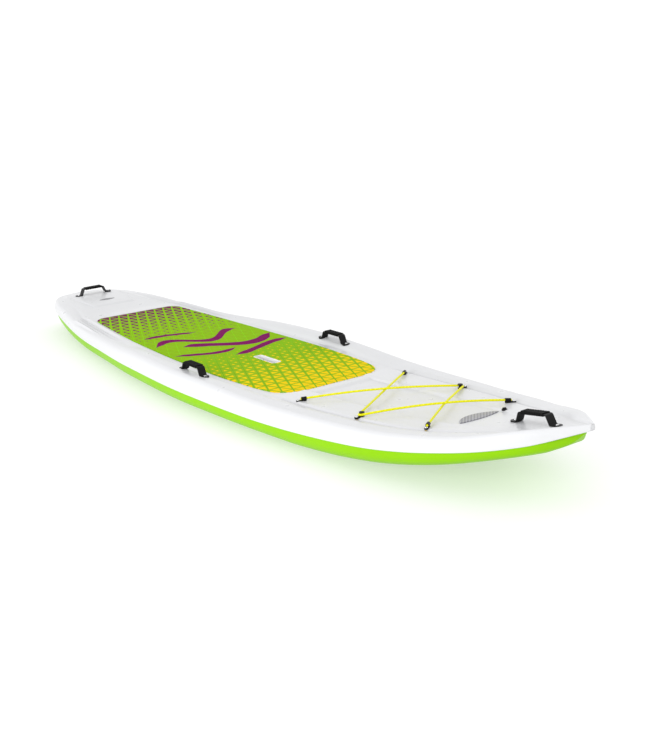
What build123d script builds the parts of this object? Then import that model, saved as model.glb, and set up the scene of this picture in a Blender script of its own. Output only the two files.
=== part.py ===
"""Stand up paddleboard: a white deck shell over a green hull shell, filled with foam.

Millimetres. +X is the bow, +Y is port and +Z is up. The keel's flat is at Z 0.
"""

import math
import os

from build123d import *

os.makedirs("parts", exist_ok=True)

# Driving dimensions.
LENGTH = 3200.0
SHELL = 3.0
FOAM_DEPTH = 6.0
LIP = 7.0
STRINGER = 6.0
PAD_DEPTH = 4.0
PAD_PROUD = 1.5
PAD_REAR = -1010.0
PAD_FRONT = 484.0
CUP_PLACE = 60.0
CUP_LENGTH = 140.0
CUP_WIDTH = 42.0
CUP_BOTTOM = 62.0
HANDLE_WIDTH = 30.0
HANDLE_HEIGHT = 32.0
HANDLE_LEGS = 126.0
HANDLE_FEET = 154.0
STRAP = 3.4
FOOT = 4.0
SCREW_R = 2.5
INSERT_R = 5.0
CORD_R = 3.5
CORD_HEIGHT = 9.0
HOOK_TURN = 9.0
SKEG_PIVOT = (-1060.0, 34.0)
SKEG_THICKNESS = 8.0
VENT_PLACE = (1194.0, 95.0)

# Cross-sections are taken at these places along the board, closer together at its ends.
STATIONS = (
    -1600, -1590, -1572, -1545, -1505, -1440, -1360, -1270, -1170, -1065, -950, -800, -650, -520,
    -400, -250, -120, 0, 130, 280, 420, 520, 640, 790, 940, 1090, 1230, 1340, 1430, 1500, 1548, 1580, 1600,
)

# Character lines: (place along the board, value).
HALF_WIDTH = (
    (-1600, 30), (-1590, 88), (-1572, 128), (-1540, 160), (-1440, 206), (-1280, 248), (-1024, 297),
    (-704, 336), (-384, 374), (0, 394), (256, 384), (576, 361), (896, 329), (1152, 280), (1344, 207),
    (1472, 130), (1552, 58), (1600, 10),
)
KEEL_Z = (
    (-1600, 96), (-1500, 56), (-1350, 30), (-1150, 11), (-900, 1), (-800, 0), (640, 0), (800, 7),
    (1000, 27), (1200, 65), (1400, 122), (1520, 162), (1565, 182), (1600, 212),
)
SEAM_Z = (
    (-1600, 115), (-1280, 102), (-800, 78), (-160, 83), (480, 75), (960, 96), (1280, 138), (1472, 181),
    (1600, 230),
)
CREST_Z = (
    (-1600, 143), (-1440, 146), (-1280, 143), (-1000, 128), (-800, 124), (-550, 128), (-350, 138),
    (-160, 140), (150, 138), (480, 131), (960, 147), (1280, 181), (1472, 224), (1600, 247),
)
FLOOR_Z = (
    (-1600, 146), (-1450, 157), (-1300, 152), (-1180, 143), (-1065, 134), (-800, 127), (-500, 122),
    (-200, 120), (400, 120), (520, 121), (700, 127), (888, 136), (1142, 156), (1340, 188), (1474, 209),
    (1600, 244),
)
LEDGE_RISE = ((-1600, 0), (-1065, 0), (420, 0), (560, 6), (900, 8), (1150, 6), (1340, 1), (1600, 0))
FOOT_Y = (
    (-1600, 12), (-1572, 70), (-1440, 130), (-1270, 158), (-1065, 208), (-800, 236), (-500, 262), (-100, 284),
    (100, 284), (300, 270), (520, 256), (800, 248), (1100, 205), (1340, 130), (1500, 60), (1600, 2),
)
SCOOP = (
    (-1600, 0), (-1380, 0), (-1200, 5), (-1000, 8), (-750, 8), (-600, 6), (-400, 1), (-300, 0), (1600, 0),
)
BOW_OVERHANG = 24.0
BOW_TAPER = 1500.0


def along(x, knots):
    """Monotone curve through the knots, so a character line never overshoots its own points."""
    spans = [(b[0] - a[0], (b[1] - a[1]) / (b[0] - a[0])) for a, b in zip(knots, knots[1:])]
    i = max(k for k in range(len(spans)) if k == 0 or x >= knots[k][0])
    slopes = []
    for k in (i, i + 1):
        if k == 0 or k == len(spans):
            slopes.append(spans[min(k, len(spans) - 1)][1])
            continue
        (h0, d0), (h1, d1) = spans[k - 1], spans[k]
        if d0 * d1 <= 0:
            slopes.append(0.0)
            continue
        slopes.append(3 * (h0 + h1) / ((2 * h1 + h0) / d0 + (h1 + 2 * h0) / d1))
    h, _ = spans[i]
    t = (x - knots[i][0]) / h
    a, b = knots[i][1], knots[i + 1][1]
    rise = (1 - t) ** 2 * (a * (1 + 2 * t) + h * slopes[0] * t)
    return rise + t ** 2 * (b * (3 - 2 * t) - h * slopes[1] * (1 - t))


def deck_line(x):
    """Half of the deck's cross-section, from the centre line out to the seam."""
    w = along(x, HALF_WIDTH)
    seam = along(x, SEAM_Z)
    crest_y = 0.92 * w - 6
    crest = along(x, CREST_Z)
    floor = along(x, FLOOR_Z)
    foot = min(along(x, FOOT_Y), 0.8 * crest_y)
    ledge = floor + along(x, LEDGE_RISE)
    return [
        (0.46 * foot, floor), (0.54 * foot, ledge - 0.4), (foot, ledge - 1.2 - 0.4 * (ledge - floor)),
        (0.6 * foot + 0.4 * crest_y, 0.35 * ledge + 0.65 * crest - along(x, SCOOP)), (crest_y, crest),
        (0.45 * crest_y + 0.55 * w, crest - 0.16 * (crest - seam)),
        (0.1 * crest_y + 0.9 * w, crest - 0.55 * (crest - seam)), (w, seam),
    ]


def hull_line(x):
    """Half of the hull's cross-section, from the seam in to the keel."""
    w = along(x, HALF_WIDTH)
    w = w - min(LIP, 0.3 * w)
    seam = along(x, SEAM_Z)
    keel = along(x, KEEL_Z)
    deep = seam - keel
    return [
        (w, seam), (0.99 * w, seam - 0.32 * deep), (0.95 * w, seam - 0.62 * deep),
        (0.84 * w, seam - 0.86 * deep), (0.62 * w, keel),
    ]


def hull_place(x):
    """Where a hull section stands: the hull stops short of the deck's tip at the bow."""
    if x < BOW_TAPER:
        return x
    return BOW_TAPER + (x - BOW_TAPER) * (1 - BOW_OVERHANG / (LENGTH / 2 - BOW_TAPER))


def section(x, half):
    """A closed sketch across the board from half of its outline."""
    with BuildSketch(Plane.YZ.offset(x)) as outline:
        with BuildLine():
            Polyline(*half, *[(-y, z) for y, z in reversed(half)], close=True)
        make_face()
    return outline.sketch


def lofted(halves):
    with BuildPart() as body:
        loft([section(x, half) for x, half in halves], ruled=True)
    return body.part


def band(stations, low, high, half_width=600):
    """A slab across the board between two curves along it."""
    with BuildPart() as slab:
        with BuildSketch(Plane.XZ.offset(-half_width)):
            with BuildLine():
                lower = [(x, low(x)) for x in stations]
                upper = [(x, high(x)) for x in reversed(stations)]
                Polyline(*lower, *upper, close=True)
            make_face()
        extrude(amount=2 * half_width)
    return slab.part


def seam(x):
    return along(x, SEAM_Z)


def span_at(x):
    """The two cross-sections either side of x, and how far x is between them."""
    i = max(k for k, s in enumerate(STATIONS[:-1]) if k == 0 or x >= s)
    a, b = STATIONS[i], STATIONS[i + 1]
    return a, b, (x - a) / (b - a)


def floor(x):
    """The deck's centre line, straight between the cross-sections."""
    a, b, t = span_at(x)
    return (1 - t) * along(a, FLOOR_Z) + t * along(b, FLOOR_Z)


def deck_height(x, y):
    """Height of the deck's outside, which is straight between two cross-sections."""
    a, b, t = span_at(x)
    line = [(0, floor(x))]
    for (y0, z0), (y1, z1) in zip(deck_line(a), deck_line(b)):
        line.append(((1 - t) * y0 + t * y1, (1 - t) * z0 + t * z1))
    for (y0, z0), (y1, z1) in zip(line, line[1:]):
        if y0 <= abs(y) <= y1:
            return z0 + (z1 - z0) * (abs(y) - y0) / (y1 - y0)
    return line[-1][1]


def deck_plane(x, y, reach=20):
    """A plane resting on the deck: its X points to the bow along the fall, its Z out of the deck."""
    slope = math.atan2(deck_height(x + reach, y) - deck_height(x - reach, y), 2 * reach)
    return Plane(
        origin=(x, y, deck_height(x, y)),
        x_dir=(math.cos(slope), 0, math.sin(slope)),
        z_dir=(-math.sin(slope), 0, math.cos(slope)),
    )


def placed(part, plane):
    return part.moved(plane.location)


def put(part, label):
    part.label = label
    export_step(part, f"parts/{label}.step")


def core_half(x, depth):
    """The shells' inside, a wall's thickness in from the hull and a set depth below the deck."""
    steps_in = (0, 0, -2, -2, 1, 4, 6)
    deck = [(y - step, z - depth) for (y, z), step in zip(deck_line(x), steps_in)]
    waist = [(hull_line(x)[0][0] - SHELL, seam(x))]
    hull = [(y - SHELL, z + SHELL) for y, z in hull_line(x)[1:]]
    return deck + waist + hull


def cylinder(radius, low, high):
    """A round bar along Z between two heights."""
    with BuildPart() as bar:
        with BuildSketch(Plane.XY.offset(low)):
            Circle(radius)
        extrude(amount=high - low)
    return bar.part


def slab(length, width, low, high, radius=0.0):
    """A flat bar along X between two heights, with its upright edges rounded."""
    with BuildPart() as bar:
        with BuildSketch(Plane.XY.offset(low)):
            if radius:
                RectangleRounded(length, width, radius)
            else:
                Rectangle(length, width)
        extrude(amount=high - low)
    return bar.part


# The outer forms, before anything is taken out of them.
deck_form = lofted([(x, deck_line(x) + [(along(x, HALF_WIDTH), seam(x) - 26)]) for x in STATIONS])
hull_form = lofted(
    [(hull_place(x), [(hull_line(x)[0][0], seam(x) + 14)] + hull_line(x)) for x in STATIONS]
)
room_form = lofted([(x, core_half(x, SHELL)) for x in STATIONS if -1585 < x < 1505])
core_form = lofted([(x, core_half(x, FOAM_DEPTH)) for x in STATIONS if -1585 < x < 1505])
above = band(STATIONS, seam, lambda x: 400)
below = band(STATIONS, lambda x: -100, seam)

# Deck pad and the shallow pocket it is glued into.
with BuildPart() as pad_plan:
    with BuildSketch(Plane.XY.offset(40)):
        with BuildLine():
            edge = Spline((PAD_REAR, 204), (-500, 245), (0, 259), (300, 245), (PAD_FRONT, 214))
            front = ThreePointArc(edge @ 1, (PAD_FRONT + 4, 0), (PAD_FRONT, -214))
            back = Spline(front @ 1, (300, -245), (0, -259), (-500, -245), (PAD_REAR, -204))
            Line(back @ 1, edge @ 0)
        pad_face = make_face()
        fillet(pad_face.vertices().group_by(Axis.X)[0], radius=48)
        fillet(pad_face.vertices().group_by(Axis.X)[-1], radius=80)
    extrude(amount=160)
pad_stations = [x for x in STATIONS if PAD_REAR - 150 < x < PAD_FRONT + 150]
pad_band = band(pad_stations, lambda x: floor(x) - PAD_DEPTH, lambda x: floor(x) + PAD_PROUD)
pocket_band = band(pad_stations, lambda x: floor(x) - PAD_DEPTH, lambda x: floor(x) + 60)
under_pocket_band = band(
    pad_stations, lambda x: floor(x) - PAD_DEPTH - SHELL, lambda x: floor(x) + 60
)
pocket = pad_plan.part & pocket_band
under_pocket = pad_plan.part & under_pocket_band
cup_plane = Plane((CUP_PLACE, 0, 0))
cup_mouth = placed(slab(CUP_LENGTH, CUP_WIDTH, CUP_BOTTOM, 150, 12), cup_plane)

# Carry cup, sunk through the pad on the board's point of balance, undercut to port for the fingers.
with BuildPart() as carry_cup:
    with BuildSketch(Plane.XY.offset(CUP_BOTTOM)):
        RectangleRounded(CUP_LENGTH, CUP_WIDTH, 12)
    extrude(amount=floor(CUP_PLACE) + 1.2 - CUP_BOTTOM)
    with BuildSketch(Plane.XY.offset(CUP_BOTTOM)):
        with Locations((0, CUP_WIDTH / 2 + 4)):
            RectangleRounded(118, 28, 8)
    extrude(amount=34)
cup_block = placed(carry_cup.part, cup_plane)
with BuildPart() as cup_hollow:
    with BuildSketch(Plane.XY.offset(CUP_BOTTOM + 2.5)):
        RectangleRounded(CUP_LENGTH - 7, CUP_WIDTH - 7, 9)
    extrude(amount=100)
    with BuildSketch(Plane.XY.offset(CUP_BOTTOM + 2.5)):
        with Locations((0, CUP_WIDTH / 2 + 2)):
            RectangleRounded(112, 26, 6)
    extrude(amount=29)
put(cup_block - placed(cup_hollow.part, cup_plane), "carry_cup")
put((pad_plan.part & pad_band) - cup_mouth, "deck_pad")


# Carry handles: a strap that rises from two feet, with a ribbed grip moulded round it.
def handle_strap():
    rise = HANDLE_HEIGHT
    leg = HANDLE_LEGS / 2
    with BuildPart() as strap:
        with BuildSketch(Plane.XZ.offset(-HANDLE_WIDTH / 2)):
            with BuildLine():
                FilletPolyline(
                    (-leg - 16, STRAP / 2), (-leg, STRAP / 2), (-leg + 13, rise), (leg - 13, rise),
                    (leg, STRAP / 2), (leg + 16, STRAP / 2), radius=7,
                )
            trace(line_width=STRAP)
        extrude(amount=HANDLE_WIDTH)
        with BuildSketch(Plane.XY.offset(-3)):
            with Locations((-HANDLE_FEET / 2, 0), (HANDLE_FEET / 2, 0)):
                Circle(HANDLE_WIDTH / 2)
        extrude(amount=FOOT + 3)
        with BuildSketch(Plane.XY.offset(-3)):
            with Locations((-HANDLE_FEET / 2, 0), (HANDLE_FEET / 2, 0)):
                Circle(SCREW_R + 0.2)
        extrude(amount=FOOT + 6, mode=Mode.SUBTRACT)
    return strap.part


def handle_grip():
    half = HANDLE_LEGS / 2 - 23
    with BuildPart() as grip:
        with BuildSketch(Plane.YZ.offset(-half)):
            with Locations((0, HANDLE_HEIGHT)):
                RectangleRounded(HANDLE_WIDTH + 1.5, 9, 3.6)
        extrude(amount=2 * half)
        for i in range(9):
            with BuildSketch(Plane.YZ.offset(-half + i * (2 * half - 5) / 8)):
                with Locations((0, HANDLE_HEIGHT)):
                    RectangleRounded(HANDLE_WIDTH + 4, 11, 4.6)
            extrude(amount=5)
    return grip.part


HANDLE_PLANES = {
    "stern": deck_plane(-1448, 0).rotated((0, 0, 90)),
    "bow": deck_plane(1404, 0),
    "port": deck_plane(63, 320),
    "starboard": deck_plane(63, -320),
}
fixing_planes = {"handle": [], "bungee": []}
for name, plane in HANDLE_PLANES.items():
    strap = handle_strap()
    put(placed(strap, plane) - deck_form, f"handle_strap_{name}")
    put(placed(handle_grip() - strap, plane), f"handle_grip_{name}")
    for end in (-1, 1):
        fixing_planes["handle"].append(Plane(plane.location * Location((end * HANDLE_FEET / 2, 0, 0))))


# Bungee cords. Each runs from a clip, across to a hook on the other side, and back to a clip.
CLIP_PLACES = ((597, 221), (888, 209), (1142, 169))


def above_deck(x, y):
    return Vector(x, y, deck_height(x, y) + CORD_HEIGHT)


def cord_route(side, first_rise, second_rise):
    """Points from the rear clip, over an arch, round the hook's post, over an arch, to the front clip."""
    (x1, y1), (x2, y2), (x3, y3) = CLIP_PLACES
    rear = above_deck(x1, side * y1)
    post = above_deck(x2, -side * y2)
    front = above_deck(x3, side * y3)
    first = (rear + post) * 0.5 + Vector(0, 0, first_rise)
    second = (post + front) * 0.5 + Vector(0, 0, second_rise)
    bend = post
    for _ in range(8):
        come = (bend - first).normalized()
        go = (second - bend).normalized()
        turn = come.get_angle(go)
        bend = post + (come - go).normalized() * (HOOK_TURN / math.cos(math.radians(turn / 2)))
    rear_end = rear - (first - rear).normalized() * 9
    front_end = front + (front - second).normalized() * 9
    return [rear_end, first, bend, second, front_end]


def cord_tube(route):
    with BuildPart() as cord:
        with BuildLine():
            path = FilletPolyline(*route, radius=[2600, HOOK_TURN, 2200])
        with BuildSketch(Plane(path @ 0, z_dir=path % 0)):
            Circle(CORD_R)
        sweep()
    print("cord length", path.length)
    return cord.part


def clip(point, toward, deck_z):
    """A tab that holds down one end of a cord in a short barrel; its X points along the cord."""
    run = (toward - point)
    flat = Vector(run.X, run.Y, 0).normalized()
    base = Plane(origin=(point.X, point.Y, deck_z), x_dir=flat, z_dir=(0, 0, 1))
    lie = deck_plane(point.X, point.Y)
    base = Plane(origin=base.origin, x_dir=flat - lie.z_dir * flat.dot(lie.z_dir), z_dir=lie.z_dir)
    tab = placed(slab(35, 12, -3, FOOT, 5.6), Plane(base.location * Location((-6, 0, 0))))
    web = placed(slab(15, 8, -3, CORD_HEIGHT, 2), Plane(base.location * Location((3, 0, 0))))
    barrel = placed(cylinder(6.0, -6, 12), Plane(point, z_dir=run.normalized()))
    bore = placed(cylinder(CORD_R + 0.3, -40, 40), Plane(point, z_dir=run.normalized()))
    screw_plane = Plane(base.location * Location((-17, 0, 0)))
    hole = placed(cylinder(SCREW_R + 0.2, -10, 10), screw_plane)
    fixing_planes["bungee"].append(screw_plane)
    return (tab + web + barrel) - bore - hole - deck_form


def hook(point, inboard):
    """A tab with a capped post that the middle of a cord turns round."""
    lie = deck_plane(point.X, point.Y)
    along_tab = inboard - lie.z_dir * inboard.dot(lie.z_dir)
    base = Plane(origin=(point.X, point.Y, deck_height(point.X, point.Y)), x_dir=along_tab, z_dir=lie.z_dir)
    tab = placed(slab(36, 13, -3, FOOT, 6), Plane(base.location * Location((-10, 0, 0))))
    post = placed(cylinder(HOOK_TURN - CORD_R - 0.35, 0, 15), Plane(point - Vector(0, 0, CORD_HEIGHT)))
    cap = placed(cylinder(8.6, 13.4, 16.0), Plane(point - Vector(0, 0, CORD_HEIGHT)))
    screw_plane = Plane(base.location * Location((-20, 0, 0)))
    hole = placed(cylinder(SCREW_R + 0.2, -10, 10), screw_plane)
    fixing_planes["bungee"].append(screw_plane)
    return (tab + post + cap) - hole - deck_form


(x1, y1), (x2, y2), (x3, y3) = CLIP_PLACES
for name, side, rises in (("starboard", -1, (19, 5)), ("port", 1, (5, 19))):
    route = cord_route(side, *rises)
    other = "port" if name == "starboard" else "starboard"
    put(cord_tube(route), f"bungee_cord_{name}")
    rear, front = above_deck(x1, side * y1), above_deck(x3, side * y3)
    post = above_deck(x2, -side * y2)
    put(clip(rear, route[1], rear.Z - CORD_HEIGHT), f"bungee_clip_rear_{name}")
    put(clip(front, route[3], front.Z - CORD_HEIGHT), f"bungee_clip_front_{name}")
    put(hook(post, Vector(0, side, 0)), f"bungee_hook_{other}")


# Screws through every foot, and the threaded inserts they turn into.
def screw():
    with BuildPart() as body:
        with BuildSketch(Plane.XY.offset(-15)):
            Circle(SCREW_R)
        extrude(amount=FOOT + 15)
        with BuildSketch(Plane.XY.offset(FOOT)):
            Circle(4.8)
        extrude(amount=2.6)
        fillet(body.edges().group_by(Axis.Z)[-1], radius=1.8)
        with BuildSketch(Plane.XY.offset(FOOT + 1.2)):
            Rectangle(6, 1.1)
            Rectangle(1.1, 6)
        extrude(amount=3, mode=Mode.SUBTRACT)
    return body.part


insert = cylinder(INSERT_R, -17, -SHELL + 0.2) - cylinder(SCREW_R, -15, 0)
screw_way = cylinder(SCREW_R + 0.2, -15, 20)
fixing_holes = []
for kind, planes in fixing_planes.items():
    put(Compound([placed(screw(), plane) for plane in planes]), f"{kind}_screws")
    put(Compound([placed(insert, plane) for plane in planes]), f"{kind}_inserts")
    for plane in planes:
        fixing_holes += [placed(cylinder(INSERT_R, -17, -SHELL + 0.2), plane), placed(screw_way, plane)]

# Name plates, each a thin lens with no lettering, let into the deck.
def lens(half_length, aft, fore, low, high):
    with BuildPart() as plate:
        with BuildSketch(Plane.XY.offset(low)):
            with BuildLine():
                bow = ThreePointArc((0, -half_length), (fore, 0), (0, half_length))
                ThreePointArc(bow @ 1, (-aft, 0), bow @ 0)
            make_face()
        extrude(amount=high - low)
    return plate.part


BADGES = {"bow_badge": (deck_plane(1184, 0), 80, 44, 13), "stern_badge": (deck_plane(-1300, 0), 40, 12, 12)}
plate_pockets = []
plate_walls = []
for name, (plane, half_length, aft, fore) in BADGES.items():
    put(placed(lens(half_length, aft, fore, -1.2, 1.2), plane), name)
    plate_pockets.append(placed(lens(half_length, aft, fore, -1.2, 8), plane))
    plate_walls.append(placed(lens(half_length + 4, aft + 4, fore + 4, -1.2 - SHELL, 8), plane))

# Vent: a bush in the deck, a quarter-turn plug in the bush, and a seal under the plug's head.
vent_plane = deck_plane(*VENT_PLACE)
vent_bush = cylinder(8.5, -2.4, 1.6) + cylinder(6, -20, 1.6) - cylinder(4, -17, 5)
vent_plug = cylinder(3.85, -16, 3.2) + cylinder(6.2, 3.2, 5.6) - placed(slab(20, 1.6, 4.4, 12), Plane.XY)
with BuildPart() as vent_seal:
    with BuildSketch(Plane.XZ):
        with Locations((4.75, 2.4)):
            Circle(0.78)
    revolve(axis=Axis.Z)
put(placed(vent_bush, vent_plane), "vent_bush")
put(placed(vent_plug, vent_plane), "vent_plug")
put(placed(vent_seal.part, vent_plane), "vent_seal")
vent_holes = [placed(cylinder(8.5, -2.4, 20), vent_plane), placed(cylinder(6, -20, 20), vent_plane)]

# Skeg: a blade folded up into a case in the hull, swinging down on a pin.
px, pz = SKEG_PIVOT
skeg_axis = Plane(origin=(px, 0, pz), x_dir=(1, 0, 0), z_dir=(0, -1, 0))


def side_solid(points, half_width, radius=0.0):
    with BuildPart() as body:
        with BuildSketch(Plane.XZ.offset(-half_width)):
            with BuildLine():
                Polyline(*points, close=True)
            face = make_face()
            if radius:
                fillet(face.vertices(), radius=radius)
        extrude(amount=2 * half_width)
    return body.part


case_form = side_solid([(px + 34, -60), (px + 34, 74), (-1262, 118), (-1296, 118), (-1296, -60)], 9)
case_room = side_solid([(px + 28, -60), (px + 28, 70), (-1260, 113), (-1290, 113), (-1290, -60)], 5.4)
skeg_case = (case_form & hull_form) - case_room
blade = side_solid(
    [
        (px + 20, pz - 18), (px + 20, pz + 20), (px - 30, pz + 34), (-1250, 104), (-1276, 88),
        (-1268, 34), (px - 40, 16),
    ],
    SKEG_THICKNESS / 2, 7,
)
pin_bar = cylinder(3, -9, 9)
pin_plane = Plane(origin=(px, 0, pz), z_dir=(0, 1, 0))
put(skeg_case - placed(pin_bar, pin_plane), "skeg_case")
put(blade - placed(cylinder(3.05, -9, 9), pin_plane), "skeg_blade")
put(placed(pin_bar, pin_plane), "skeg_pin")

# Shells and foam, with every pocket and hole taken out. The deck keeps its wall under the pocket and plates.
room = room_form - under_pocket - plate_walls
deck_cuts = [pocket, cup_block, *plate_pockets, *vent_holes, *fixing_holes]
core_cuts = [cup_block, case_form, *vent_holes, *fixing_holes]
put((deck_form & above) - room - deck_cuts, "deck_shell")
put((hull_form & below) - room - case_form, "hull_shell")
solid_core = (room & core_form) - core_cuts
with BuildPart() as web:
    with BuildSketch(Plane.XY.offset(-50)):
        Rectangle(LENGTH + 100, STRINGER)
    extrude(amount=400)
for label, piece in (("stringer", solid_core & web.part), ("foam_core", solid_core - web.part)):
    put(piece, label)
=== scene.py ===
"""Looks of the stand up paddleboard: smooth moulded shells, patterned foam pad, handles and bungee.

Lengths in the tables are millimetres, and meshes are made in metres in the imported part's frame:
+X is the bow, +Y is port and +Z is up.
"""

import math

import bpy
import numpy as np
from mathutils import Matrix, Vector


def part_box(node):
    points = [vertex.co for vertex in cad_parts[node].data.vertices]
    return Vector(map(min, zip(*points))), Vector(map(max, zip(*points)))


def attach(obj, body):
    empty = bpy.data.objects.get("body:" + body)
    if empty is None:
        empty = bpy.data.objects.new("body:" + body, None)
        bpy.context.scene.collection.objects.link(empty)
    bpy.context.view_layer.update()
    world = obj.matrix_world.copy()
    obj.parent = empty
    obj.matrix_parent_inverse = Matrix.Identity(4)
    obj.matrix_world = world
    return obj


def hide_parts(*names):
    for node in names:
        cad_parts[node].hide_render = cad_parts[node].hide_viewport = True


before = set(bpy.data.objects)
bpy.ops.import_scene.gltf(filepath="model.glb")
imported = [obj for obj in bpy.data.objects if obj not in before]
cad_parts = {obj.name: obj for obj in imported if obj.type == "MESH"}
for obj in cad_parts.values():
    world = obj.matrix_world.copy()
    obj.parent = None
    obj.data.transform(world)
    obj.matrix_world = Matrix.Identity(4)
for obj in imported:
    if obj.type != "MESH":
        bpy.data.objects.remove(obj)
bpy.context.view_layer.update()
scene = bpy.context.scene
MM = 0.001

# The board's character lines, the same as the part's own: (place along the board, value).
LENGTH = 3200.0
BOW_TIP = LENGTH / 2
LIP = 7.0
BOW_OVERHANG = 24.0
BOW_TAPER = 1500.0
HALF_WIDTH = (
    (-1600, 30), (-1590, 88), (-1572, 128), (-1540, 160), (-1440, 206), (-1280, 248), (-1024, 297),
    (-704, 336), (-384, 374), (0, 394), (256, 384), (576, 361), (896, 329), (1152, 280), (1344, 207),
    (1472, 130), (1552, 58), (1600, 10),
)
KEEL_Z = (
    (-1600, 96), (-1500, 56), (-1350, 30), (-1150, 11), (-900, 1), (-800, 0), (640, 0), (800, 7),
    (1000, 27), (1200, 65), (1400, 122), (1520, 162), (1565, 182), (1600, 212),
)
SEAM_Z = (
    (-1600, 115), (-1280, 102), (-800, 78), (-160, 83), (480, 75), (960, 96), (1280, 138),
    (1472, 181), (1600, 230),
)
CREST_Z = (
    (-1600, 143), (-1440, 146), (-1280, 143), (-1000, 128), (-800, 124), (-550, 128), (-350, 138),
    (-160, 140), (150, 138), (480, 131), (960, 147), (1280, 181), (1472, 224), (1600, 247),
)
FLOOR_Z = (
    (-1600, 146), (-1450, 157), (-1300, 152), (-1180, 143), (-1065, 134), (-800, 127), (-500, 122),
    (-200, 120), (400, 120), (520, 121), (700, 127), (888, 136), (1142, 156), (1340, 188),
    (1474, 209), (1600, 244),
)
LEDGE_RISE = ((-1600, 0), (-1065, 0), (420, 0), (560, 6), (900, 8), (1150, 6), (1340, 1), (1600, 0))
FOOT_Y = (
    (-1600, 12), (-1572, 70), (-1440, 130), (-1270, 158), (-1065, 208), (-800, 236), (-500, 262),
    (-100, 284), (100, 284), (300, 270), (520, 256), (800, 248), (1100, 205), (1340, 130),
    (1500, 60), (1600, 2),
)
SCOOP = (
    (-1600, 0), (-1380, 0), (-1200, 5), (-1000, 8), (-750, 8), (-600, 6), (-400, 1), (-300, 0), (1600, 0),
)

# The shells: how many quads each span of a cross-section takes, and how their edges end.
DECK_SPANS = (30, 9, 30, 14, 14, 12, 12, 10)
HULL_SPANS = (6, 8, 12, 16, 20, 20)
ROWS_ALONG = 420
END_CROWDING = 0.75
LIP_UNDERSIDE = 3.0
LIP_DROP = 2.6
LIP_ROUND = ((0.6, 2.0), (2.2, LIP_DROP))
LIP_CLOSES = (1535, 1570)
SEAM_OVERLAP = 1.0
SKEG_SLOT_HALF = 6.0
SKEG_SLOT_END = 4.0
# The hull's cross-section below the seam: (share of the half width, share of the depth).
HULL_SECTION = ((0.99, 0.32), (0.95, 0.62), (0.84, 0.86), (0.62, 1), (0.3, 1), (0, 1))

# The pad, and the carry cup's slot in it.
PAD_REAR = -1010.0
PAD_FRONT = 486.0
PAD_PROUD = 1.5
PAD_THICKNESS = 5.5
PAD_FRONT_HALF = 214.0
PAD_EDGE = (
    (PAD_REAR, 204), (-950, 209), (-500, 245), (0, 259), (300, 245), (PAD_FRONT, PAD_FRONT_HALF),
)
PAD_REAR_CORNER = 48.0
PAD_FRONT_CORNER = 80.0
PAD_SOFT_EDGE = 1.1
PAD_CORNER_ROWS = 26
PAD_REAR_ROWS = 90
PAD_FRONT_ROWS = 30
WING_COLUMNS = 34
CUP_PLACE = 60.0
CUP_LENGTH = 140.0
CUP_WIDTH = 42.0
CUP_CORNER = 12.0
CUP_GAP = 0.1
CUP_ROOM = 3.0
CUP_CORNER_ROWS = 9
CUP_ROWS = 12
CUP_COLUMNS = 7

# The deck's fine relief. A run is (starts, full, fades, ends) along its own direction.
POCKET_DEPTH = 3.0
POCKET_WALL = (-1.0, 4.0)
PLATEAU_REAR = -1540.0
PLATEAU_FRONT = -1225.0
PLATEAU_MIDDLE = -1450.0
PLATEAU_HALF = 122.0
PLATEAU_TAPER = -0.11
PLATEAU_WALL = 8.0
STERN_SINK = 4.4
STERN_RUN = (-1570, -1500, -1100, -1030)
STERN_FROM_RAIL = (50, 100)
SCOOP_LINE = ((-1420, 150), (-1300, 172), (-1150, 192), (-1065, 205), (-1000, 212), (1600, 212))
SCOOP_STEP = 1.0
SCOOP_RUN = (-1400, -1250, -1060, -980)
SCOOP_WALL = (-2, 9)
SCOOP_FROM_RAIL = (30, 80)
RIBS = 4
RIB_OUT = 16.0
RIB_PITCH = 18.0
RIB_HEIGHT = 4.5
RIB_HOLLOW = 1.5
RIB_WIDTH = 4.6
RIB_RUN = (-1130, -1080, -800, -560)
RIB_RUN_STEP = (12, 12, -40, -60)
RECESS_REAR = 530.0
RECESS_FRONT = 900.0
RECESS_FADES = 640.0
RECESS_HALF = 126.0
RECESS_DEPTH = 4.2
RECESS_WALL = 6.0
GUTTER_LINE = ((-1600, 250), (480, 250), (1000, 222), (1370, 122), (1600, 60))
GUTTER_RUN = (470, 560, 1250, 1390)
GUTTER_DEPTH = 4.6
GUTTER_WIDTH = 5.0
STRIP_RISE = 2.0
STRIP_ACROSS = (-60, -12, -10, -3)


def along(x, knots):
    """Monotone curve through the knots, for a number or an array."""
    places, values = np.array(knots, float).T
    gaps = np.diff(places)
    rates = np.diff(values) / gaps
    slopes = np.concatenate([rates[:1], np.zeros(len(rates) - 1), rates[-1:]])
    for knot in range(1, len(rates)):
        before, after = knot - 1, knot
        if rates[before] * rates[after] > 0:
            pull_before = (2 * gaps[after] + gaps[before]) / rates[before]
            pull_after = (gaps[after] + 2 * gaps[before]) / rates[after]
            slopes[knot] = 3 * (gaps[before] + gaps[after]) / (pull_before + pull_after)
    span = np.clip(np.searchsorted(places, x, side="right") - 1, 0, len(gaps) - 1)
    gap = gaps[span]
    share = (x - places[span]) / gap
    start = values[span] * (1 + 2 * share) + gap * slopes[span] * share
    end = values[span + 1] * (3 - 2 * share) - gap * slopes[span + 1] * (1 - share)
    return (1 - share) ** 2 * start + share ** 2 * end


def ease(x, low, high):
    """Smooth step from 0 at low to 1 at high."""
    share = np.clip((x - low) / (high - low), 0, 1)
    return share * share * (3 - 2 * share)


def window(x, run):
    """1 inside a run and 0 outside it, easing in and out."""
    starts, full, fades, ends = run
    return ease(x, starts, full) * ease(-x, -ends, -fades)


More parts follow.
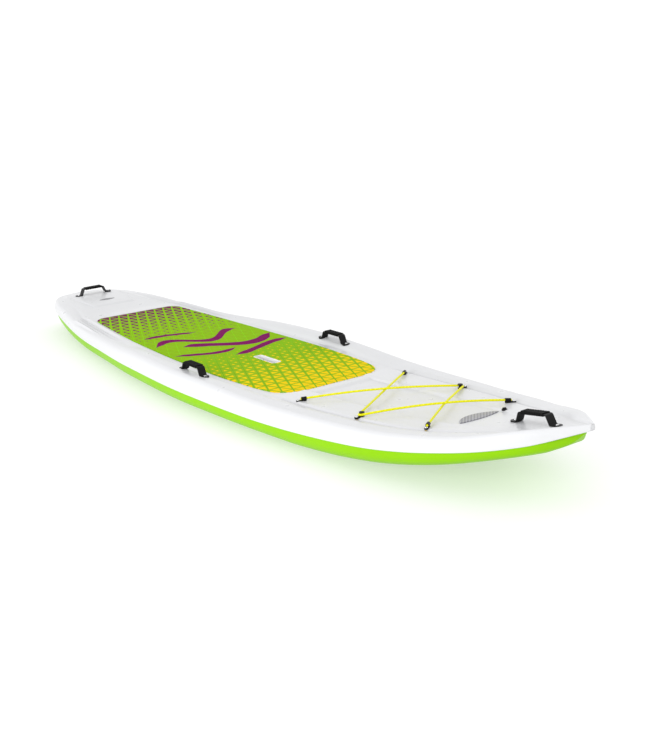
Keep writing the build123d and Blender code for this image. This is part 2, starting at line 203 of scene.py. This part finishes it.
# The camera stands off the bow's starboard side, a little above the deck.
CAMERA_PLACE = (3.2787, -2.1186, 1.1699)
CAMERA_TURN = (74.022, 2.1094, 52.579)
CAMERA_LENS = 50.4
CAMERA_SENSOR = 36
CAMERA_SHIFT = (-0.0051, -0.0070)
CAMERA_REACH = 60


def add_camera():
    """Add the camera and make it the scene's own."""
    data = bpy.data.cameras.new("camera")
    data.lens = CAMERA_LENS
    data.sensor_width = CAMERA_SENSOR
    data.shift_x, data.shift_y = CAMERA_SHIFT
    data.clip_end = CAMERA_REACH
    camera = bpy.data.objects.new("camera", data)
    camera.location = CAMERA_PLACE
    camera.rotation_euler = [math.radians(angle) for angle in CAMERA_TURN]
    scene.collection.objects.link(camera)
    scene.camera = camera


class Value:
    """A shader value that adds, multiplies and compares like a number."""

    def __init__(self, tree, socket):
        self.tree = tree
        self.socket = socket

    def op(self, kind, *others):
        node = self.tree.nodes.new("ShaderNodeMath")
        node.operation = kind
        for place, value in enumerate((self, *others)):
            self.feed(node.inputs[place], value)
        return Value(self.tree, node.outputs[0])

    def feed(self, entry, value):
        """Give a node's input a number or another value."""
        if isinstance(value, Value):
            self.tree.links.new(value.socket, entry)
        else:
            entry.default_value = value

    def __add__(self, other):
        return self.op("ADD", other)

    def __sub__(self, other):
        return self.op("SUBTRACT", other)

    def __mul__(self, other):
        return self.op("MULTIPLY", other)

    def step(self, low, high):
        """0 at low and 1 at high, smooth between; low may be above high."""
        node = self.tree.nodes.new("ShaderNodeMapRange")
        node.interpolation_type = "SMOOTHSTEP"
        for name, value in (("Value", self), ("From Min", low), ("From Max", high)):
            self.feed(node.inputs[name], value)
        return Value(self.tree, node.outputs["Result"])

    def near_whole(self):
        """Distance to the nearest whole number, from 0 to 0.5."""
        return (self.op("FRACT") - 0.5).op("ABSOLUTE") * -1.0 + 0.5


class Paint:
    """One material: its nodes, its shader and the values that its pattern is worked out from."""

    def __init__(self, name, color, roughness, **shader):
        self.material = bpy.data.materials.new(name)
        self.material.use_nodes = True
        self.tree = self.material.node_tree
        self.shader = self.tree.nodes["Principled BSDF"]
        self.shader.inputs["Base Color"].default_value = (*color, 1)
        self.shader.inputs["Roughness"].default_value = roughness
        for socket, value in shader.items():
            self.shader.inputs[socket.replace("_", " ")].default_value = value
        self.place = self.tree.nodes.new("ShaderNodeTexCoord").outputs["Object"]

    def axes(self):
        """Places along the board, across it and up, in millimetres."""
        split = self.tree.nodes.new("ShaderNodeSeparateXYZ")
        self.tree.links.new(self.place, split.inputs[0])
        return [Value(self.tree, out) * (1 / MM) for out in split.outputs]

    def noise(self, scale, detail=3.0, stretch=(1, 1, 1)):
        """Noise from 0 to 1 whose lumps are about 1/scale metres."""
        mapping = self.tree.nodes.new("ShaderNodeMapping")
        mapping.inputs["Scale"].default_value = stretch
        self.tree.links.new(self.place, mapping.inputs[0])
        node = self.tree.nodes.new("ShaderNodeTexNoise")
        node.inputs["Scale"].default_value = scale
        node.inputs["Detail"].default_value = detail
        self.tree.links.new(mapping.outputs[0], node.inputs["Vector"])
        return Value(self.tree, node.outputs[0])

    def cells(self, scale):
        """Distance to the nearest of many scattered points, about 1/scale metres apart."""
        node = self.tree.nodes.new("ShaderNodeTexVoronoi")
        node.inputs["Scale"].default_value = scale
        self.tree.links.new(self.place, node.inputs["Vector"])
        return Value(self.tree, node.outputs["Distance"])

    def mix(self, amount, first, second):
        """Colour between two, each a tuple or the result of another mix."""
        node = self.tree.nodes.new("ShaderNodeMix")
        node.data_type = "RGBA"
        self.tree.links.new(amount.socket, node.inputs[0])
        for socket, color in ((node.inputs[6], first), (node.inputs[7], second)):
            if isinstance(color, tuple):
                socket.default_value = (*color, 1)
            else:
                self.tree.links.new(color, socket)
        return node.outputs[2]

    def color(self, socket):
        self.tree.links.new(socket, self.shader.inputs["Base Color"])

    def roughness(self, value):
        self.tree.links.new(value.socket, self.shader.inputs["Roughness"])

    def bump(self, height, distance, strength=1.0):
        """Bump whose full height is distance metres; calls add up."""
        node = self.tree.nodes.new("ShaderNodeBump")
        node.inputs["Distance"].default_value = distance
        node.inputs["Strength"].default_value = strength
        self.tree.links.new(height.socket, node.inputs["Height"])
        old = self.shader.inputs["Normal"].links
        if old:
            self.tree.links.new(old[0].from_socket, node.inputs["Normal"])
        self.tree.links.new(node.outputs[0], self.shader.inputs["Normal"])


def shaded(color, share, lift=0.0):
    """A colour made darker or paler by a share, and lifted a little."""
    return tuple(c * share + lift for c in color)


def moulded_plastic(name, color, roughness=0.3, shade=0.92, gloss=0.5):
    """Glossy sheet plastic: a faint orange peel, soft cloudiness and uneven polish."""
    paint = Paint(name, color, roughness, IOR=1.49, Specular_IOR_Level=gloss)
    cloud = paint.noise(3.5, 4)
    paint.color(paint.mix(cloud.step(0.3, 0.75), shaded(color, shade), color))
    paint.roughness(paint.noise(26, 5) * 0.14 + (roughness - 0.07))
    paint.bump(paint.noise(90, 2), 0.00005, 0.4)
    return paint.material


def textured_plastic(name, color, roughness=0.5, scale=900):
    """Moulded black plastic with a fine spark-eroded texture and rubbed, paler high spots."""
    paint = Paint(name, color, roughness, Specular_IOR_Level=0.13)
    rub = paint.noise(60, 4).step(0.5, 0.8)
    paint.color(paint.mix(rub, color, shaded(color, 1.5, 0.003)))
    paint.roughness(paint.noise(90, 4) * 0.25 + (roughness - 0.12))
    paint.bump(paint.cells(scale), 0.0003, 0.35)
    return paint.material


def brushed_metal(name, color, roughness):
    """Turned metal with fine marks and small stains."""
    paint = Paint(name, color, roughness, Metallic=1.0)
    marks = paint.noise(400, 3, stretch=(1, 8, 1))
    stain = paint.noise(90, 4).step(0.55, 0.8)
    paint.color(paint.mix(stain, color, shaded(color, 0.7)))
    paint.roughness(marks * 0.2 + (roughness - 0.1))
    paint.bump(marks, 0.0001, 0.4)
    return paint.material


# The pad's print, in millimetres.
PURPLE = (0.155, 0.0015, 0.08)
STROKE_PURPLE = (0.23, 0.006, 0.12)
LIME = (0.245, 0.455, 0.003)
YELLOW_LIME = (0.35, 0.48, 0.003)
ORANGE = (0.80, 0.49, 0.0)
PALE_ORANGE = (0.86, 0.66, 0.0)
GROOVE_GREEN = (0.12, 0.40, 0.008)
GROOVE_LIME = (0.24, 0.64, 0.003)
TRIANGLE_HEIGHT = 50.0
TRIANGLE_BASE = 45.0
TRIANGLE_INSIDE = 14.5
TRIANGLE_MARGIN = 1.7
PRINT_WOBBLE = 1.2
PURPLE_SHRINKS = (-1080, -330)
ORANGE_SHRINKS = (520, -260)
REAR_BORDER = (15, 12)
STROKE_TAPER = 60
STROKE_ROUGHNESS = 9.0
BRUSH_STROKES = (
    # x middle, sway, waves per mm of beam, phase, half width, from y, to y
    (-520, 30, 0.012, 0.3, 15, -215, 30),
    (-400, 52, 0.021, 1.5, 24, -236, 190),
    (-265, 62, 0.013, 0.2, 30, -150, 252),
    (-190, 34, 0.016, 2.6, 17, -250, 20),
    (-120, 40, 0.011, 2.2, 20, -60, 254),
)


def groove_net(x, y):
    """Distance to the nearest of three sets of straight grooves, which cross in triangles."""
    slant = TRIANGLE_BASE / 2 / TRIANGLE_HEIGHT
    square = math.cos(math.atan(slant)) * TRIANGLE_BASE
    upright = (x * (1 / TRIANGLE_HEIGHT)).near_whole() * TRIANGLE_HEIGHT
    rising = ((y + x * slant) * (1 / TRIANGLE_BASE)).near_whole() * square
    falling = ((y - x * slant) * (1 / TRIANGLE_BASE)).near_whole() * square
    return upright.op("MINIMUM", rising).op("MINIMUM", falling)


def triangles(x, inside, shrinks):
    """Printed triangles that fill their cells at one place and have shrunk away at another."""
    full_at, gone_at = shrinks
    growth = (TRIANGLE_INSIDE + 1.0 - TRIANGLE_MARGIN) / (gone_at - full_at)
    margin = (x - full_at) * growth + TRIANGLE_MARGIN
    return (inside - margin.op("MAXIMUM", TRIANGLE_MARGIN)).step(-0.5, 0.5)


def brush_stroke(x, y, rough_edge, stroke):
    """Where one loose brush stroke lies: a swaying band across the pad, tapered at its ends."""
    middle, sway, waves, phase, half, low, high = stroke
    centre = (y * waves + phase).op("SINE") * sway + middle
    taper = (y.step(low, low + STROKE_TAPER) * y.step(high, high - STROKE_TAPER)) * half
    band = ((x + rough_edge - centre).op("ABSOLUTE") - taper).step(1.0, -1.0)
    return band * taper.step(0.5, 2.0)


def pad_foam():
    """Brushed foam, printed with triangles between pressed grooves, and five loose brush strokes."""
    paint = Paint("pad_foam", LIME, 0.85, Specular_IOR_Level=0.06)
    x, y = paint.axes()[:2]
    groove_distance = groove_net(x, y)
    inside = groove_distance + (paint.noise(150, 2) - 0.5) * PRINT_WOBBLE
    border = x.step(*(PAD_REAR + place for place in REAR_BORDER))
    purple = triangles(x, inside, PURPLE_SHRINKS).op("MAXIMUM", border)
    orange = triangles(x, inside, ORANGE_SHRINKS)
    fade = paint.noise(40, 3)
    color = paint.mix(x.step(-150, 450), LIME, YELLOW_LIME)
    color = paint.mix(purple, color, paint.mix(fade, PURPLE, shaded(PURPLE, 1.25, 0.004)))
    color = paint.mix(orange, color, paint.mix(fade, ORANGE, PALE_ORANGE))
    line = paint.mix(x.step(-300, 100), GROOVE_LIME, GROOVE_GREEN)
    color = paint.mix(groove_distance.step(1.6, 0.9) * 0.85, color, line)
    rough_edge = (paint.noise(70, 4, stretch=(1, 0.35, 1)) - 0.5) * STROKE_ROUGHNESS
    for stroke in BRUSH_STROKES:
        where = brush_stroke(x, y, rough_edge, stroke)
        color = paint.mix(where, color, paint.mix(fade, PURPLE, STROKE_PURPLE))
    paint.color(color)
    paint.roughness(paint.noise(300, 3) * 0.2 + 0.72)
    paint.bump(groove_distance.step(0.8, 2.4), 0.0010, 0.8)
    paint.bump(paint.noise(900, 3), 0.0004, 0.5)
    return paint.material


def braided_cord():
    """Yellow sheath: two sets of threads crossing, with a fleck of shade between them."""
    paint = Paint("braided_cord", (0.85, 0.84, 0.004), 0.6, Specular_IOR_Level=0.2)
    x, y, z = paint.axes()
    threads_per_mm = 2.6
    lean = 0.9
    first = ((x + y * lean + z) * threads_per_mm).op("SINE")
    second = ((x - y * lean + z) * threads_per_mm).op("SINE")
    weave = first.op("MAXIMUM", second).step(-0.4, 0.9)
    paint.color(paint.mix(weave, (0.62, 0.62, 0.0), (0.92, 0.90, 0.004)))
    paint.bump(weave, 0.0005, 0.7)
    return paint.material


def plywood():
    """Sheet wood with long grain."""
    paint = Paint("plywood", (0.55, 0.38, 0.2), 0.7)
    grain = paint.noise(60, 6, stretch=(0.15, 4, 8))
    paint.color(paint.mix(grain, (0.4, 0.25, 0.12), (0.68, 0.5, 0.3)))
    paint.bump(grain, 0.0004, 0.5)
    return paint.material


def bead_foam():
    """White foam of small beads pressed together."""
    paint = Paint("bead_foam", (0.86, 0.86, 0.85), 0.9)
    beads = paint.cells(280)
    paint.color(paint.mix(beads.step(0.2, 0.7), (0.9, 0.9, 0.89), (0.7, 0.7, 0.69)))
    paint.bump(beads, 0.0008, 0.7)
    return paint.material


def badge_plate(name, color, line, ribs_per_mm):
    """A name plate with no name: satin plastic with fine slanting ribs."""
    paint = Paint(name, color, 0.35)
    x, y = paint.axes()[:2]
    slant = 0.7
    rib = ((x * slant + y * slant) * ribs_per_mm).near_whole().step(0.12, 0.3)
    paint.color(paint.mix(rib, line, color))
    paint.roughness(paint.noise(80, 3) * 0.2 + 0.25)
    paint.bump(rib, 0.0004, 0.6)
    return paint.material


def add_mesh(name, grid, faces, material):
    """A smooth-shaded mesh on the board, from a grid of places in millimetres."""
    mesh = bpy.data.meshes.new(name)
    mesh.from_pydata([tuple(v) for v in grid.reshape(-1, 3) * MM], [], faces)
    mesh.materials.append(material)
    mesh.validate()
    mesh.update()
    mesh.polygons.foreach_set("use_smooth", [True] * len(mesh.polygons))
    piece = bpy.data.objects.new(name, mesh)
    scene.collection.objects.link(piece)
    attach(piece, "board")
    return piece


def cell_centres(grid):
    """Middle of each cell of a grid, as two arrays: along the board and across it."""
    centre = (grid[:-1, :-1] + grid[1:, 1:]) / 2
    return centre[:, :, 0], centre[:, :, 1]


def grid_faces(grid, opening):
    """Quads over a grid of vertices, row by row, with none where it is open."""
    rows, columns = grid.shape[:2]
    faces = []
    for row in range(rows - 1):
        for column in range(columns - 1):
            if not opening[row, column]:
                corner = row * columns + column
                ahead = corner + columns
                faces.append((corner, ahead, ahead + 1, corner + 1))
    return faces


def shell_faces(grid, opening):
    """The grid's quads and a flat face across each end."""
    rows, columns = grid.shape[:2]
    stern_end = tuple(range(columns))
    bow_end = tuple(range(rows * columns - 1, (rows - 1) * columns - 1, -1))
    return grid_faces(grid, opening) + [stern_end, bow_end]


def board_places():
    """Places along the board, close together near its ends."""
    share = np.linspace(-1, 1, ROWS_ALONG)
    return BOW_TIP * ((1 - END_CROWDING) * share + END_CROWDING * np.sin(share * math.pi / 2))


def smooth_outline(points, counts):
    """A monotone curve through a cross-section's points, with a set number of samples in each span."""
    points = np.array(points, float)
    reach = np.concatenate([[0], np.cumsum(np.hypot(*np.diff(points, axis=0).T) + 1e-6)])
    spans = zip(reach[:-1], reach[1:], counts)
    steps = [np.linspace(start, end, count, endpoint=False) for start, end, count in spans]
    samples = np.concatenate([*steps, reach[-1:]])
    return np.stack([along(samples, np.stack([reach, points[:, axis]], 1)) for axis in (0, 1)], 1)


def hull_inset(half_width):
    """How far the hull's top edge lies inside the deck's; less where the board is very narrow."""
    return min(LIP, 0.3 * half_width)


def deck_line(x):
    """Half of the deck's cross-section, from the centre line out to the seam."""
    rail = along(x, HALF_WIDTH)
    seam = along(x, SEAM_Z)
    crest_y = 0.92 * rail - 6
    crest = along(x, CREST_Z)
    floor = along(x, FLOOR_Z)
    foot = min(along(x, FOOT_Y), 0.8 * crest_y)
    ledge = floor + along(x, LEDGE_RISE)
    flank_y = 0.6 * foot + 0.4 * crest_y
    flank = 0.35 * ledge + 0.65 * crest - along(x, SCOOP)
    return [
        (0, floor), (0.46 * foot, floor), (0.54 * foot, ledge - 0.4),
        (foot, ledge - 1.2 - 0.4 * (ledge - floor)), (flank_y, flank), (crest_y, crest),
        (0.45 * crest_y + 0.55 * rail, crest - 0.16 * (crest - seam)),
        (0.1 * crest_y + 0.9 * rail, crest - 0.55 * (crest - seam)), (rail, seam),
    ]


def pad_half(x):
    """Half width of the pad, its corners rounded."""
    half = along(x, PAD_EDGE)
    for place, radius in ((x - PAD_REAR, PAD_REAR_CORNER), (PAD_FRONT - x, PAD_FRONT_CORNER)):
        over = np.clip(1 - place / radius, 0, 1)
        half = half - radius * (1 - np.sqrt(1 - over ** 2))
    return half


def pad_pocket(x, side):
    """The shallow pocket that the pad lies in."""
    from_ends = np.minimum(x - PAD_REAR, PAD_FRONT - x)
    from_sides = pad_half(np.clip(x, PAD_REAR, PAD_FRONT)) - side
    return -POCKET_DEPTH * ease(np.minimum(from_ends, from_sides), *POCKET_WALL)


def stern_sink(x, side, from_rail):
    """The deck sunk round the plateau that carries the stern handle and its plate."""
    half = PLATEAU_HALF + (x - PLATEAU_MIDDLE) * PLATEAU_TAPER
    plateau = np.minimum(np.minimum(half - side, PLATEAU_FRONT - x), x - PLATEAU_REAR)
    around = window(x, STERN_RUN) * ease(from_rail, *STERN_FROM_RAIL)
    return -STERN_SINK * around * (1 - ease(plateau, -PLATEAU_WALL, 0))


def scoop_step(x, side, from_rail):
    """The step from the deck down to the scoops beside the pad's rear corners."""
    step = ease(side - along(x, SCOOP_LINE), *SCOOP_WALL) * window(x, SCOOP_RUN)
    return -SCOOP_STEP * step * ease(from_rail, *SCOOP_FROM_RAIL)


def scoop_ribs(x, side):
    """Ribs in each scoop, running with the pad's edge, each with a hollow outside it."""
    edge = along(x, PAD_EDGE + ((BOW_TIP, PAD_FRONT_HALF),))
    height = 0
    for rib in range(RIBS):
        place = side - (edge + RIB_OUT + RIB_PITCH * rib)
        run = [start + step * rib for start, step in zip(RIB_RUN, RIB_RUN_STEP)]
        crest = RIB_HEIGHT * np.exp(-(place / RIB_WIDTH) ** 2)
        hollow = RIB_HOLLOW * np.exp(-((place - RIB_PITCH / 2) / RIB_WIDTH) ** 2)
        height = height + window(x, run) * (crest - hollow)
    return height


def bow_recess(x, side):
    """The bow's sunk middle, forward of the pad, which fades out towards the tip."""
    inside = np.minimum(np.minimum(x - RECESS_REAR, RECESS_FRONT - x), RECESS_HALF - side)
    return -RECESS_DEPTH * ease(inside, 0, RECESS_WALL) * ease(-x, -RECESS_FRONT, -RECESS_FADES)


def bow_gutters(x, side):
    """A gutter along each side of the bow, and the raised strip inside it."""
    across = side - along(x, GUTTER_LINE)
    gutter = GUTTER_DEPTH * np.exp(-(across / GUTTER_WIDTH) ** 2)
    strip = STRIP_RISE * window(across, STRIP_ACROSS)
    return window(x, GUTTER_RUN) * (strip - gutter)


def relief(x, y):
    """Height that the fine character lines add to the deck, in mm, at arrays of places."""
    side = np.abs(y)
    from_rail = along(x, HALF_WIDTH) - side
    height = pad_pocket(x, side) + stern_sink(x, side, from_rail) + scoop_step(x, side, from_rail)
    return height + scoop_ribs(x, side) + bow_recess(x, side) + bow_gutters(x, side)


def deck_row(x):
    """The deck's whole cross-section, from one lip's underside over the deck to the other's."""
    half = smooth_outline(deck_line(x), DECK_SPANS)
    rail, seam = half[-1]
    lip = hull_inset(rail) + LIP_UNDERSIDE
    lip += (rail - lip) * ease(x, *LIP_CLOSES)
    edge = [(rail - inward, seam - drop) for inward, drop in LIP_ROUND]
    half = np.vstack([half, edge + [(rail - lip, seam - LIP_DROP)]])
    row = np.vstack([half[::-1] * (-1, 1), half[1:]])
    return np.column_stack([np.full(len(row), x), row])


def deck_shell(material):
    """The whole white moulding: deck, rails and the lip that overhangs the hull."""
    places = board_places()
    grid = np.array([deck_row(x) for x in places])
    beam = np.array([along(x, HALF_WIDTH) for x in places])[:, None]
    on_top = np.abs(grid[:, :, 1]) < beam - 1
    grid[:, :, 2] += np.where(on_top, relief(grid[:, :, 0], grid[:, :, 1]), 0)
    x, y = cell_centres(grid)
    well = (np.abs(x - CUP_PLACE) < CUP_LENGTH / 2 + CUP_ROOM) & (np.abs(y) < CUP_WIDTH / 2 + CUP_ROOM)
    piece = add_mesh("deck_moulding", grid, shell_faces(grid, well), material)
    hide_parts("deck_shell")


def hull_line(x):
    """Half of the hull's cross-section, from its top edge in to the keel."""
    rail = along(x, HALF_WIDTH)
    top_edge = rail - hull_inset(rail)
    seam = along(x, SEAM_Z)
    depth = seam - along(x, KEEL_Z)
    below = [(across * top_edge, seam - down * depth) for across, down in HULL_SECTION]
    return [(top_edge, seam + SEAM_OVERLAP)] + below


def hull_row(x):
    """The hull's whole cross-section; the last stretch is drawn in, short of the deck's tip."""
    half = smooth_outline(hull_line(x), HULL_SPANS)
    row = np.vstack([half * (-1, 1), half[-2::-1]])
    place = x
    if x >= BOW_TAPER:
        place = BOW_TAPER + (x - BOW_TAPER) * (1 - BOW_OVERHANG / (BOW_TIP - BOW_TAPER))
    return np.column_stack([np.full(len(row), place), row])


def hull_shell(material):
    """The green moulding below the seam, with the slot that the skeg swings through."""
    grid = np.array([hull_row(x) for x in board_places()])
    x, y = cell_centres(grid)
    case_low, case_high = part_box("skeg_case")
    slot = (x > case_low[0] / MM + SKEG_SLOT_END) & (x < case_high[0] / MM - SKEG_SLOT_END)
    slot &= np.abs(y) < SKEG_SLOT_HALF
    outward = [face[::-1] for face in shell_faces(grid, slot)]
    piece = add_mesh("hull_moulding", grid, outward, material)
    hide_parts("hull_shell")


def corner_steps(radius, count):
    """Distances from an end to points spread evenly round its corner."""
    return radius * (1 - np.cos(np.linspace(0, 1, count) * math.pi / 2))


def pad_places(slot_rear, slot_front):
    """Places along the pad, close together round its corners and the slot's."""
    rear_corner = PAD_REAR + corner_steps(PAD_REAR_CORNER, PAD_CORNER_ROWS)
    front_corner = PAD_FRONT - corner_steps(PAD_FRONT_CORNER, PAD_CORNER_ROWS)[::-1]
    slot_corner = corner_steps(CUP_CORNER, CUP_CORNER_ROWS)
    return np.concatenate([
        rear_corner,
        np.linspace(rear_corner[-1], slot_rear, PAD_REAR_ROWS)[1:-1],
        slot_rear + slot_corner,
        np.linspace(slot_rear + CUP_CORNER, slot_front - CUP_CORNER, CUP_ROWS)[1:-1],
        (slot_front - slot_corner)[::-1],
        np.linspace(slot_front, front_corner[0], PAD_FRONT_ROWS)[1:-1],
        front_corner,
    ])


def pad_grid(places, slot_half, wing_share, slot_share):
    """Rows of points across the pad: a wing, the slot's width and the other wing."""
    rows = []
    for x, edge, gap in zip(places, pad_half(places), slot_half):
        wing = gap + (edge - gap) * wing_share
        y = np.concatenate([-wing[::-1], slot_share * gap, wing])
        top = along(x, FLOOR_Z) + PAD_PROUD
        rows.append(np.column_stack([np.full(len(y), x), y, np.full(len(y), top)]))
    return np.array(rows)


def soften_pad(piece):
    """Give the pad's sheet its thickness and rounded edges."""
    thick = piece.modifiers.new("thickness", "SOLIDIFY")
    thick.thickness = PAD_THICKNESS * MM
    thick.offset = -1
    thick.use_even_offset = False
    soft = piece.modifiers.new("soft_edge", "BEVEL")
    soft.width = PAD_SOFT_EDGE * MM
    soft.segments = 3
    soft.limit_method = "ANGLE"
    soft.angle_limit = math.radians(50)


def deck_pad(material):
    """The foam pad: a sheet that follows the deck, with a slot for the carry cup."""
    slot_rear = CUP_PLACE - CUP_LENGTH / 2
    slot_front = CUP_PLACE + CUP_LENGTH / 2
    places = pad_places(slot_rear, slot_front)
    from_end = np.clip(np.minimum(places - slot_rear, slot_front - places), 0, CUP_CORNER)
    rounding = np.sqrt(CUP_CORNER ** 2 - (CUP_CORNER - from_end) ** 2)
    slot_half = CUP_WIDTH / 2 - CUP_CORNER + rounding + CUP_GAP
    wing_share = np.linspace(0, 1, WING_COLUMNS)
    slot_share = np.linspace(-1, 1, CUP_COLUMNS)[1:-1]
    grid = pad_grid(places, slot_half, wing_share, slot_share)
    x = cell_centres(grid)[0]
    column = np.arange(grid.shape[1] - 1)
    slot_columns = (column >= WING_COLUMNS - 1) & (column <= WING_COLUMNS - 1 + len(slot_share))
    slot = (x > slot_rear) & (x < slot_front) & slot_columns
    piece = add_mesh("foam_pad", grid, grid_faces(grid, slot), material)
    soften_pad(piece)
    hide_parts("deck_pad")


def repaint(name, material):
    """Give a CAD node its finish."""
    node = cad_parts[name]
    node.data.materials.clear()
    node.data.materials.append(material)


def paint_nodes():
    """Finishes of all the nodes that keep their own shape."""
    black = textured_plastic("black_plastic", (0.007, 0.007, 0.0075))
    strap = textured_plastic("strap_plastic", (0.006, 0.006, 0.0065), 0.42, 1400)
    rubber = textured_plastic("grip_rubber", (0.004, 0.004, 0.004), 0.7, 700)
    steel = brushed_metal("screw_steel", (0.75, 0.75, 0.76), 0.28)
    brass = brushed_metal("insert_brass", (0.75, 0.55, 0.22), 0.35)
    finishes = {
        "carry_cup": moulded_plastic("cup_white", (0.86, 0.86, 0.87), 0.35),
        "foam_core": bead_foam(),
        "stringer": plywood(),
        "skeg_case": black,
        "skeg_blade": moulded_plastic("skeg_plastic", (0.02, 0.02, 0.021), 0.32),
        "skeg_pin": steel,
        "vent_bush": black,
        "vent_plug": black,
        "vent_seal": rubber,
        "bow_badge": badge_plate("badge_grey", (0.17, 0.17, 0.20), (0.32, 0.32, 0.35), 0.11),
        "stern_badge": badge_plate("badge_dark", (0.10, 0.10, 0.11), (0.28, 0.28, 0.30), 0.16),
    }
    families = (
        ("handle_strap", strap), ("handle_grip", rubber), ("_screws", steel), ("_inserts", brass),
        ("bungee_cord", braided_cord()), ("bungee_clip", black), ("bungee_hook", black),
    )
    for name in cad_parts:
        for part_of_name, material in families:
            if part_of_name in name:
                finishes[name] = material
    for name, material in finishes.items():
        repaint(name, material)


# The studio, in metres.
WHITE_LIGHT = (1, 1, 1, 1)
FLOOR_GREYS = ((0.58, 0.58, 0.58), (0.61, 0.61, 0.61))
FLOOR_GLOW = 0.42
FLOOR_REACH = 30
FLOOR_DROP = 0.001
SKY_OVERHEAD = 0.86
SKY_EXTRA_LOW = 0.42
LIGHT_AIM = (0.0, 0, 0.1)


def add_floor():
    """A plain pale floor just under the board."""
    glow = {"Emission_Color": WHITE_LIGHT, "Emission_Strength": FLOOR_GLOW}
    paint = Paint("studio_floor", (0.6, 0.6, 0.6), 0.9, **glow)
    paint.color(paint.mix(paint.noise(2, 3), *FLOOR_GREYS))
    corners = [(sx * FLOOR_REACH, sy * FLOOR_REACH, 0) for sx, sy in ((-1, -1), (1, -1), (1, 1), (-1, 1))]
    mesh = bpy.data.meshes.new("floor")
    mesh.from_pydata(corners, [], [(0, 1, 2, 3)])
    mesh.materials.append(paint.material)
    floor = bpy.data.objects.new("floor", mesh)
    scene.collection.objects.link(floor)
    floor.location.z = -FLOOR_DROP


def add_light(name, place, size, power):
    """A soft round light that faces the board."""
    data = bpy.data.lights.new(name, "AREA")
    data.shape = "DISK"
    data.size = size
    data.energy = power
    light = bpy.data.objects.new(name, data)
    light.location = place
    light.rotation_euler = (Vector(LIGHT_AIM) - Vector(place)).to_track_quat("-Z", "Y").to_euler()
    scene.collection.objects.link(light)


def add_sky():
    """White light from all round, stronger from low down than from overhead."""
    world = bpy.data.worlds.new("studio")
    world.use_nodes = True
    tree = world.node_tree
    split = tree.nodes.new("ShaderNodeSeparateXYZ")
    tree.links.new(tree.nodes.new("ShaderNodeTexCoord").outputs["Generated"], split.inputs[0])
    height = Value(tree, split.outputs["Z"])
    glow = height.step(0.9, 0.0) * SKY_EXTRA_LOW + SKY_OVERHEAD
    tree.links.new(glow.socket, tree.nodes["Background"].inputs[1])
    tree.nodes["Background"].inputs[0].default_value = WHITE_LIGHT
    scene.world = world


add_camera()
white = moulded_plastic("deck_white", (0.66, 0.665, 0.68), 0.30, shade=0.985, gloss=0.35)
green = moulded_plastic("hull_green", (0.24, 0.535, 0.0004), 0.36, shade=0.97, gloss=0.13)
deck_shell(white)
hull_shell(green)
deck_pad(pad_foam())
paint_nodes()
add_floor()
add_sky()
add_light("key", (1.2, -4.5, 1.3), 2.2, 110)
add_light("far_side", (-0.6, 5.5, 1.7), 2.5, 70)
scene.view_settings.view_transform = "Standard"
